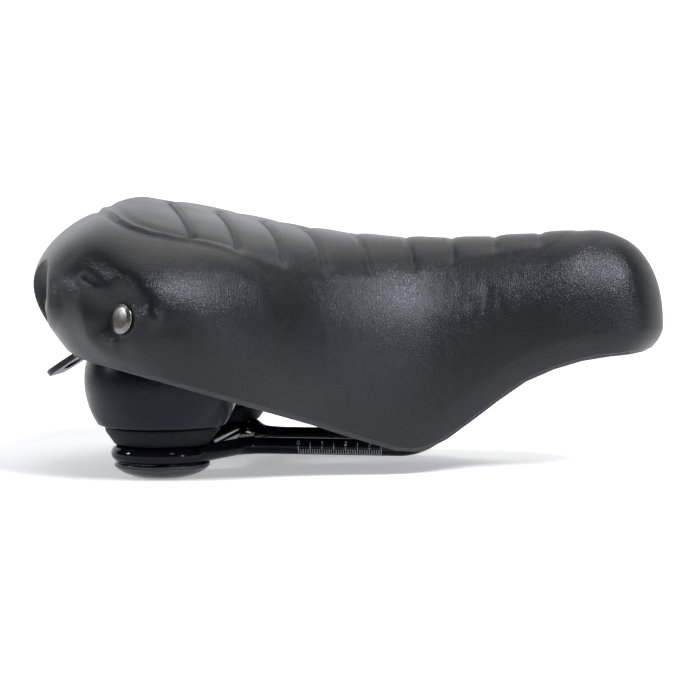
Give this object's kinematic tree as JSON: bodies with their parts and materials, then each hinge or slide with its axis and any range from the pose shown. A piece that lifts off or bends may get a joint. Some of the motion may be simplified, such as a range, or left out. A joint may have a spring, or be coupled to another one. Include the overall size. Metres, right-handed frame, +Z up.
{
  "type": "comfort bicycle saddle",
  "caption": "Padded comfort bicycle saddle on bent steel rails, sprung by elastomer balls at the back and a rubber bush at the nose, with studs and an accessory tab.",
  "frame": {"origin": "middle of the straight clamping stretch of the rails, midway between them, on the rod axes' plane", "axes": "+X to the nose, +Y to the rider's left, +Z up"},
  "size_m": [0.2635, 0.2086, 0.1144],
  "materials": {
    "cover_leather": "satin",
    "foam": "matte",
    "shell_plastic": "satin",
    "nickel": "satin",
    "zinc": "satin",
    "tab_plate": "satin",
    "bush_rubber": "matte",
    "black_steel": "gloss",
    "elastomer": "satin",
    "cup_plastic": "satin",
    "cap_plastic": "gloss"
  },
  "bodies": {
    "rails": {"rail_frame": "black_steel", "elastomer_right": "elastomer", "elastomer_left": "elastomer", "lower_cup_right": "cup_plastic", "lower_cup_left": "cup_plastic", "ring_cap_right": "cap_plastic", "ring_cap_left": "cap_plastic", "lower_bolt_right": "zinc", "lower_bolt_left": "zinc", "lower_insert_right": "zinc", "lower_insert_left": "zinc"},
    "nose_pivot": {"nose_bush": "bush_rubber"},
    "seat": {"cover": "cover_leather", "foam_pad": "foam", "base_shell": "shell_plastic", "stud_side_right": "nickel", "stud_side_left": "nickel", "stud_rear_right": "nickel", "stud_rear_left": "nickel", "stud_nut_side_right": "zinc", "stud_nut_side_left": "zinc", "stud_nut_rear_right": "zinc", "stud_nut_rear_left": "zinc", "accessory_tab": "tab_plate", "tab_screw_right": "zinc", "tab_screw_left": "zinc", "nose_clamp": "shell_plastic", "nose_screw_rear": "zinc", "nose_screw_front": "zinc", "top_plate_right": "zinc", "top_plate_left": "zinc", "top_screw_right": "zinc", "top_screw_left": "zinc"}
  },
  "joints": [
    {"name": "seat_pitch", "type": "hinge", "parent": "rails", "child": "nose_pivot", "pos_m": [0.1, 0, 0.054], "axis": [0, 1, 0], "range_deg": [-4, 0], "stiffness_Nm_per_rad": 1200, "deforming": ["elastomer_right", "elastomer_left"]},
    {"name": "seat_roll", "type": "hinge", "parent": "nose_pivot", "child": "seat", "pos_m": [0.1, 0, 0.054], "axis": [1, 0, 0], "range_deg": [-1.5, 1.5], "stiffness_Nm_per_rad": 400, "deforming": ["elastomer_right", "elastomer_left"]}
  ]
}
